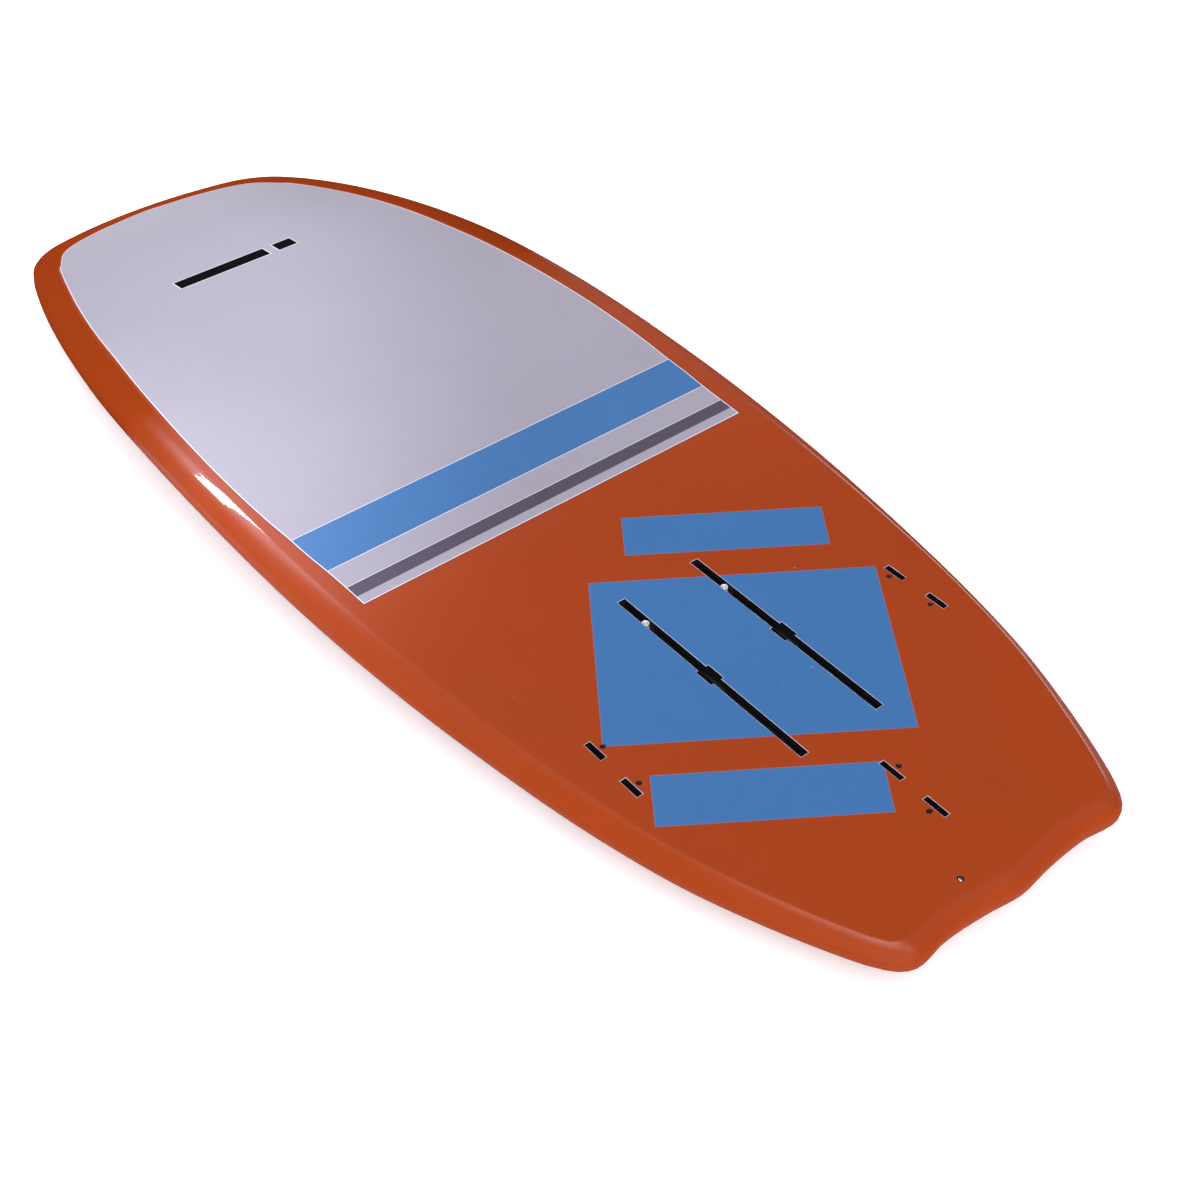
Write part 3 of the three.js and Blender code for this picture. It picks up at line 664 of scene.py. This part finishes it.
M_BLACK = black_moulding("black_nylon")
M_FITTING = black_moulding("black_fitting", (26, 26, 30), (0.3, 0.45), 1400, 0.00003)
M_STEEL = metal("stainless", (205, 206, 210))
def nut_steel(name):
    """Boss bright and satin; the threads in the bore and the plate in the channel are coloured near black as painted
    shade.
    """
    m, b = material(name)
    (x, y, z), pos = board_axes()
    away = lo2(disc_gap(x, y, 90.5, 45, 0.0), disc_gap(x, y, 82, -45, 0.0))
    bore = lo2(away - 2.3, 3.9 - away)
    grain = noise(pos, 900, 3)
    # painted shade: bore threads and foot plate near black, only the boss ring left bright
    give(b, "Base Color", mix(edge(-bore, 0.2), scale_colour((0.80, 0.80, 0.83), ramp(grain, 0.3, 0.7, 0.9, 1.05)), rgb(26, 25, 27)))
    give(b, "Metallic", ramp(bore, -0.2, 0.1, 0.3, 0.55))
    give(b, "Roughness", ramp(grain, 0.3, 0.7, 0.42, 0.55))
    E.tree.links.new(bump(noise(pos, 2600, 2), 0.00002, 0.4), b.inputs["Normal"])
    return m
M_NUT = nut_steel("t_nut_steel_painted_shade")
# grub screw steel darkened: painted shade for the screws sitting recessed in their holes
M_GRUB_PAINTED_SHADE = metal("dark_steel", (70, 70, 78), (0.25, 0.4))
M_BRASS = metal("brass", (206, 170, 96), (0.22, 0.4))
M_SEAL = black_moulding("seal_rubber", (24, 24, 26), (0.6, 0.8), 700, 0.00008)
M_FOAM = foam("bead_foam", (240, 240, 236), 260, 0.0006)
M_DENSE = foam("dense_foam", (214, 192, 138), 900, 0.0002)
M_WOOD = wood("stringer_wood")

def finish_node(name, m):
    ob = frame["nodes"][name]
    ob.data.materials.clear()
    ob.data.materials.append(m)
for n in frame["nodes"]:
    if n.startswith("core"): finish_node(n, M_FOAM)
    elif n == "track_block": finish_node(n, M_DENSE)
    elif n == "stringer": finish_node(n, M_WOOD)
    elif n.startswith("foil_track") or n.startswith("fin_plug"): finish_node(n, M_BLACK)
    elif n in ("vent_body", "leash_plug_cup"): finish_node(n, M_FITTING)
    elif n.startswith("strap_insert"): finish_node(n, M_BRASS)
    elif n == "vent_o_ring": finish_node(n, M_SEAL)
    elif n.startswith("t_nut") or n.startswith("grub") or n in ("vent_screw", "leash_plug_pin"): finish_node(n, M_STEEL)

# ------------------------------------------------------------------ deck pads
def eva(name, tone):
    m, b = material(name)
    (x, y, z), pos = board_axes()
    cell = voronoi(pos, 1500)
    cloud = noise(pos, 14, 4, 0.6)
    give(b, "Base Color", scale_colour(mix(ramp(cell, 0.1, 0.7, 0, 0.6), rgb(*tone), rgb(*[int(c * 0.72) for c in tone])), ramp(cloud, 0.3, 0.7, 0.93, 1.07)))
    give(b, "Roughness", ramp(cell, 0, 1, 0.82, 0.96))
    give(b, "Sheen Weight", 0.15)
    E.tree.links.new(bump(cell * -1.0, 0.00025, 0.55), b.inputs["Normal"])
    return m
M_EVA = eva("eva_foam", (66, 68, 76))
PAD, PAD_GLUE = 5.0, 0.8
PAD_EDGE = [[-262, 112], [-200, 136], [-150, 156], [-60, 190], [130, 226], [330, 240], [490, 242], [640, 232], [760, 190]]

def kick(x): return 17 * np.clip((-196 - x) / 50, 0, 1) ** 1.5
def arch(x, y): return 3.5 * np.exp(-((y / 26) ** 2))

def deck_pad(name, node, xa, xb, pitch, extra):
    """A grooved foam pad on the deck: grooves run across, the edge is rolled down to the deck."""
    G, W = 1.1, 2.2                                  # groove depth and width
    xs, depth = [xa], [0.0]
    lead = 9.0
    count = int((xb - xa - 2 * lead) // pitch)
    start = (xa + xb) / 2 - count * pitch / 2
    marks = []
    for k in range(count + 1):
        c = start + k * pitch
        marks += [(c - W / 2, 0), (c - W / 2 + 0.5, G), (c + W / 2 - 0.5, G), (c + W / 2, 0)]
    for e in (0.0, 0.5, 1.4, 3.0): marks += [(xa + e, 0), (xb - e, 0)]
    marks = sorted(set(marks))
    xs = np.array([m_[0] for m_ in marks]); depth = np.array([m_[1] for m_ in marks])
    NY = 44
    ks = np.concatenate([[0, 0.0022, 0.006, 0.013], np.linspace(0.03, 0.97, NY), [0.987, 0.994, 0.9978, 1]]) * 2 - 1
    X, K = np.meshgrid(xs, ks, indexing="ij")
    HWID = station(PAD_EDGE, X)
    # plan corners rounded
    r = 16.0
    endgap = np.minimum(X - xa, xb - X)
    cut_in = np.where(endgap < r, r - np.sqrt(np.maximum(0, r * r - (r - endgap) ** 2)), 0)
    Y = (HWID - cut_in) * K
    t = PAD + extra(X, Y)
    edge_gap = np.minimum(endgap, (HWID - cut_in) * (1 - np.abs(K)))
    roll = np.clip(edge_gap / 3.0, 0, 1)
    roll = np.sqrt(np.maximum(0, 1 - (1 - roll) ** 2))
    mark = smooth(7, 10, (HWID - cut_in) * (1 - np.abs(K)))
    top = deck_z(X, Y) - PAD_GLUE - t * (0.25 + 0.75 * roll) + np.repeat(depth[:, None], len(ks), 1) * mark
    under = deck_z(X, Y) - PAD_GLUE
    nx, ny = X.shape
    verts = np.concatenate([np.stack([X, Y, top], -1).reshape(-1, 3), np.stack([X, Y, under], -1).reshape(-1, 3)])
    faces = []
    idx = lambda i, j, s: s * nx * ny + i * ny + j
    for i in range(nx - 1):
        for j in range(ny - 1):
            faces.append((idx(i, j, 0), idx(i + 1, j, 0), idx(i + 1, j + 1, 0), idx(i, j + 1, 0)))
            faces.append((idx(i, j, 1), idx(i, j + 1, 1), idx(i + 1, j + 1, 1), idx(i + 1, j, 1)))
    for i in range(nx - 1):
        faces.append((idx(i, 0, 0), idx(i, 0, 1), idx(i + 1, 0, 1), idx(i + 1, 0, 0)))
        faces.append((idx(i, ny - 1, 0), idx(i + 1, ny - 1, 0), idx(i + 1, ny - 1, 1), idx(i, ny - 1, 1)))
    for j in range(ny - 1):
        faces.append((idx(0, j, 0), idx(0, j + 1, 0), idx(0, j + 1, 1), idx(0, j, 1)))
        faces.append((idx(nx - 1, j, 0), idx(nx - 1, j, 1), idx(nx - 1, j + 1, 1), idx(nx - 1, j + 1, 0)))
    ob = weld(mesh_object(name, row_array(verts), faces))
    holes = {"v": [], "f": []}
    for x, y, _ in INSERTS:
        if xa < x < xb:
            f = float(deck_z(x, y))
            cutter(holes, ring_poly(x, y, 9, 40), [(f - 30, 0), (f + 5, 0)])
    if holes["v"]:
        boolean(ob, holes)
    shade(ob, 32)
    ob.data.materials.clear(); ob.data.materials.append(M_EVA)
    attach(ob, "board"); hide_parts(node)
    return ob

deck_pad("pad_kick", "deck_pad_kick", -262, -176, 9.0, lambda x, y: kick(x))
deck_pad("pad_rear", "deck_pad_rear", -170, -64, 9.0, arch)
deck_pad("pad_middle", "deck_pad_middle", -58, 208, 9.0, lambda x, y: 0 * x)
deck_pad("pad_front", "deck_pad_front", 214, 640, 9.0, lambda x, y: 0 * x)

# ------------------------------------------------------------------ small fittings
def turned_piece(name, centre, profile, seg, mat, body, node, tilt=0.0, smooth_angle=30, cut_with=None):
    """profile: (radius, height) about the local z axis, closed on the axis or on itself."""
    verts, faces = [], []
    n = len(profile)
    for k in range(seg):
        a = 2 * math.pi * k / seg
        for r, h in profile:
            v = Vector((r * math.cos(a), r * math.sin(a), h))
            v = Matrix.Rotation(tilt, 3, "X") @ v
            verts.append(tuple(row((centre[0] + v.x, centre[1] + v.y, centre[2] + v.z))))
    for k in range(seg):
        j = (k + 1) % seg
        for i in range(n - 1):
            faces.append((k * n + i, j * n + i, j * n + i + 1, k * n + i + 1))
    ob = weld(mesh_object(name, verts, faces), 1e-6)
    if cut_with:
        boolean(ob, cut_with)
    shade(ob, smooth_angle)
    ob.data.materials.clear(); ob.data.materials.append(mat)
    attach(ob, body)
    if node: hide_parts(node)
    return ob

TOP = -2.9
# T-nuts: an oblong foot with rounded corners and a round, threaded boss that stands in the slot
def t_nut(side, x, y):
    low = TOP - 3 - 6.9 + 0.3
    foot = {"v": [], "f": []}
    cutter(foot, soften(rect(x, y, 17.6, 13.4), 1.6, 4), [(low, -0.4), (low + 0.4, 0), (low + 4.0, 0), (low + 4.4, -0.4)])
    ob = weld(mesh_object("t_nut_" + side + "_turned", foot["v"], foot["f"], False), 1e-8)
    boss = {"v": [], "f": []}
    cutter(boss, ring_poly(x, y, 3.7, 48), [(low + 1, 0), (-2.55, 0), (-2.2, -0.35)])
    boolean(ob, boss, "UNION")
    bore = {"v": [], "f": []}
    lv = [(low - 1, 0.5), (low + 0.3, 0)]
    z, k = low + 0.3, 0
    while z < -3.0:                                   # thread: ridges in the bore
        z += 0.4; k += 1
        lv.append((z, 0.26 if k % 2 else 0.0))
    lv += [(-2.6, 0.1), (-1.8, 0.9)]
    cutter(bore, ring_poly(x, y, 2.3, 36), lv)
    boolean(ob, bore)
    shade(ob, 30)
    ob.data.materials.clear(); ob.data.materials.append(M_NUT)
    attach(ob, "t_nut_" + side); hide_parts("t_nut_" + side)
t_nut("starboard", 90.5, 45)
t_nut("port", 82, -45)

# grub screws: threaded shank, hexagon socket, cup point; their steel is darkened as painted shade for screws sitting
# down in their holes
for x, y, side, name, long, across in FIN_PLUGS:
    base = Vector((x, y + side * 8.2, 0))
    tilt = -side * TILT
    d = Vector((0, side * math.sin(TILT), math.cos(TILT)))
    prof = [(0, -6.7), (0.7, -7.0), (1.5, -7.0)]
    h = -6.6
    k = 0
    while h < -1.6:
        prof.append((2.1 if k % 2 else 1.86, h)); h += 0.25; k += 1
    prof += [(2.05, -1.5), (1.8, -1.2), (0, -1.2)]
    hexa = {"v": [], "f": []}
    ring = [(1.25 * math.cos(math.pi / 3 * q), 1.25 * math.sin(math.pi / 3 * q)) for q in range(6)]
    rot = Matrix.Rotation(tilt, 3, "X")
    for hh, gr in ((-4.2, 1.0), (-1.35, 1.0), (-0.6, 1.6)):
        hexa["v"] += [tuple(row(base + rot @ Vector((a * gr, b_ * gr, hh)))) for a, b_ in ring]
    for l in range(2):
        for i in range(6):
            j = (i + 1) % 6
            hexa["f"].append((l * 6 + i, l * 6 + j, (l + 1) * 6 + j, (l + 1) * 6 + i))
    hexa["f"] += [tuple(range(6))[::-1], tuple(range(12, 18))]
    turned_piece("grub_" + name, base, prof, 36, M_GRUB_PAINTED_SHADE, "grub_screw_" + name, "grub_screw_" + name, tilt, 25, hexa)

# vent: moulded body, seal, slotted screw with a domed head
vx, vy = VENT
seat = TOP - 3.6
turned_piece("vent_body_fine", (vx, vy, 0), [(2.1, TOP - 15), (7, TOP - 15), (7, TOP - 4), (9, TOP - 4), (9, TOP), (3.0, TOP), (2.8, TOP - 0.2), (2.8, TOP - 3.6), (2.1, TOP - 3.6), (2.1, TOP - 15)], 48, M_FITTING, "board", "vent_body")
turned_piece("vent_seal", (vx, vy, 0), [(2.1 + 0.6 * math.cos(2 * math.pi * k / 14), seat + 0.85 + 0.65 * math.sin(2 * math.pi * k / 14)) for k in range(15)], 48, M_SEAL, "board", "vent_o_ring", smooth_angle=80)
head = seat + 1.8
slot_cut = {"v": [], "f": []}
cutter(slot_cut, rect(vx, vy, 8, 0.6), [(head + 3.6, 0), (head + 6, 0)])
turned_piece("vent_screw_fine", (vx, vy, 0), [(0, TOP - 14), (1.3, TOP - 14), (1.6, TOP - 13.6), (1.6, head), (2.0, head), (2.15, head + 0.2), (2.15, head + 3.2), (2.0, head + 3.7), (1.6, head + 4.1), (0.9, head + 4.35), (0, head + 4.42)], 48, M_STEEL, "vent_screw", "vent_screw", cut_with=slot_cut)

# leash plug: cup with a lip and a cross pin
f = leash_face
pin_hole = {"v": [], "f": []}
def cross_bar(parts, r, half, n=32):
    base = len(parts["v"])
    for yy in (-half, half):
        parts["v"] += [tuple(row((LEASH_X + r * math.cos(2 * math.pi * k / n), yy, f + 4 + r * math.sin(2 * math.pi * k / n)))) for k in range(n)]
    for i in range(n):
        j = (i + 1) % n
        parts["f"].append((base + i, base + j, base + n + j, base + n + i))
    parts["f"] += [tuple(base + i for i in range(n))[::-1], tuple(base + n + i for i in range(n))]
cross_bar(pin_hole, 2.3, 13.0)
turned_piece("leash_cup", (LEASH_X, 0, 0), [(0, f + SKIN + 15.3), (14.2, f + SKIN + 15.3), (14.5, f + SKIN + 15), (14.5, f + 0.1), (14.1, f - 0.4), (11.0, f - 0.4), (10.5, f + 0.1), (10.5, f + 8), (9.9, f + 9.4), (8.6, f + 10.4), (0, f + 11)], 64, M_FITTING, "board", "leash_plug_cup", cut_with=pin_hole)
pin = {"v": [], "f": []}
cross_bar(pin, 2.0, 12.8, 40)
ob = weld(mesh_object("leash_pin", pin["v"], pin["f"]), 1e-8)
shade(ob, 30); ob.data.materials.append(M_STEEL)
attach(ob, "board"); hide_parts("leash_plug_pin")

# strap inserts: turned brass with a threaded bore
for x, y, name in INSERTS:
    f0 = float(deck_z(x, y))
    prof = [(0, f0 + SKIN + 18), (5.7, f0 + SKIN + 18), (6, f0 + SKIN + 17.6), (6, f0 + 0.5), (5.7, f0 + 0.2), (3.1, f0 + 0.2), (2.75, f0 + 0.6)]
    h, k = f0 + 0.8, 0
    while h < f0 + 15:
        prof.append((2.6 if k % 2 else 2.95, h)); h += 0.5; k += 1
    prof += [(2.6, f0 + 15.5), (0, f0 + 16.5)]
    turned_piece("insert_" + name, (x, y, 0), prof, 40, M_BRASS, "board", "strap_insert_" + name, smooth_angle=25)

# ------------------------------------------------------------------ floor and light
me = bpy.data.meshes.new("floor")
me.from_pydata([(-30, -30, 0), (30, -30, 0), (30, 30, 0), (-30, 30, 0)], [], [(0, 1, 2, 3)])
floor = bpy.data.objects.new("floor", me)
scene.collection.objects.link(floor)
m, b = material("floor_pale")
pos = position()
give(b, "Base Color", scale_colour((0.93, 0.93, 0.95), ramp(noise(pos, 1.5, 3), 0.3, 0.7, 0.995, 1.005)))
give(b, "Roughness", 0.85)
give(b, "Specular IOR Level", 0.1)
give(b, "Emission Color", (1.0, 1.0, 1.0))
give(b, "Emission Strength", 0.3)
floor.data.materials.append(m)

world = bpy.data.worlds.new("studio")
scene.world = world
world.use_nodes = True
E.tree = world.node_tree
bg = world.node_tree.nodes["Background"]
direction = world.node_tree.nodes.new("ShaderNodeTexCoord").outputs["Generated"]
def lobe(towards, inner, outer):
    """1 within inner degrees of a direction, falling to 0 at outer."""
    d = TURN @ Vector(towards).normalized()
    n = world.node_tree.nodes.new("ShaderNodeVectorMath")
    n.operation = "DOT_PRODUCT"
    world.node_tree.links.new(direction, n.inputs[0])
    n.inputs[1].default_value = d
    r = ramp(E(n.outputs["Value"]), math.cos(math.radians(outer)), math.cos(math.radians(inner)))
    return r
def part(d, low, high):
    """The share of a direction, risen from low to high."""
    v = TURN @ Vector(d)
    n = world.node_tree.nodes.new("ShaderNodeVectorMath")
    n.operation = "DOT_PRODUCT"
    world.node_tree.links.new(direction, n.inputs[0])
    n.inputs[1].default_value = v
    return ramp(E(n.outputs["Value"]), low, high)
ceiling = lobe((-0.50, 0.34, 0.80), 22, 42)          # big soft box overhead
E.put(bg.inputs["Strength"], ceiling * 3.9 + 0.22)
bg.inputs["Color"].default_value = (0.97, 0.965, 1.0, 1)

def area(name, towards, dist, size, power, colour, target=(480, 0, -20)):
    d = TURN @ Vector(towards).normalized()
    data = bpy.data.lights.new(name, "AREA")
    data.shape = "RECTANGLE"
    data.size, data.size_y = size
    data.energy = power
    data.color = colour
    ob = bpy.data.objects.new(name, data)
    scene.collection.objects.link(ob)
    t = row(target)
    ob.location = t + d * dist
    ob.rotation_euler = (-d).to_track_quat("-Z", "Y").to_euler()
    return ob
area("window", (0.738, -0.095, 0.665), 3.0, (0.85, 0.2), 20, (0.96, 0.94, 1.0), (529, 252, -10))
area("edge_strip", (0.51, -0.03, 0.86), 3.0, (0.15, 0.5), 9, (1.0, 0.96, 0.94), (-100, 240, -5))

def beam(name, at, target, half, blend, power, colour):
    """A soft-edged lamp that lights one side of the board more than the other."""
    data = bpy.data.lights.new(name, "SPOT")
    data.spot_size, data.spot_blend, data.shadow_soft_size = 2 * math.radians(half), blend, 0.12
    data.energy, data.color = power, colour
    ob = bpy.data.objects.new(name, data)
    scene.collection.objects.link(ob)
    a, t = row(at), row(target)
    ob.location = a
    ob.rotation_euler = (t - a).to_track_quat("-Z", "Y").to_euler()
beam("near_beam", (1000, 250, 2300), (1120, 900, 0), 26.6, 0.1, 105, (0.9, 0.95, 1.0))
beam("window_beam", (529 + 0.738 * 3000, 252 - 0.128 * 3000, 0.662 * 3000 - 10), (500, 262, -10), 5.5, 1.0, 60, (0.88, 0.74, 1.0))
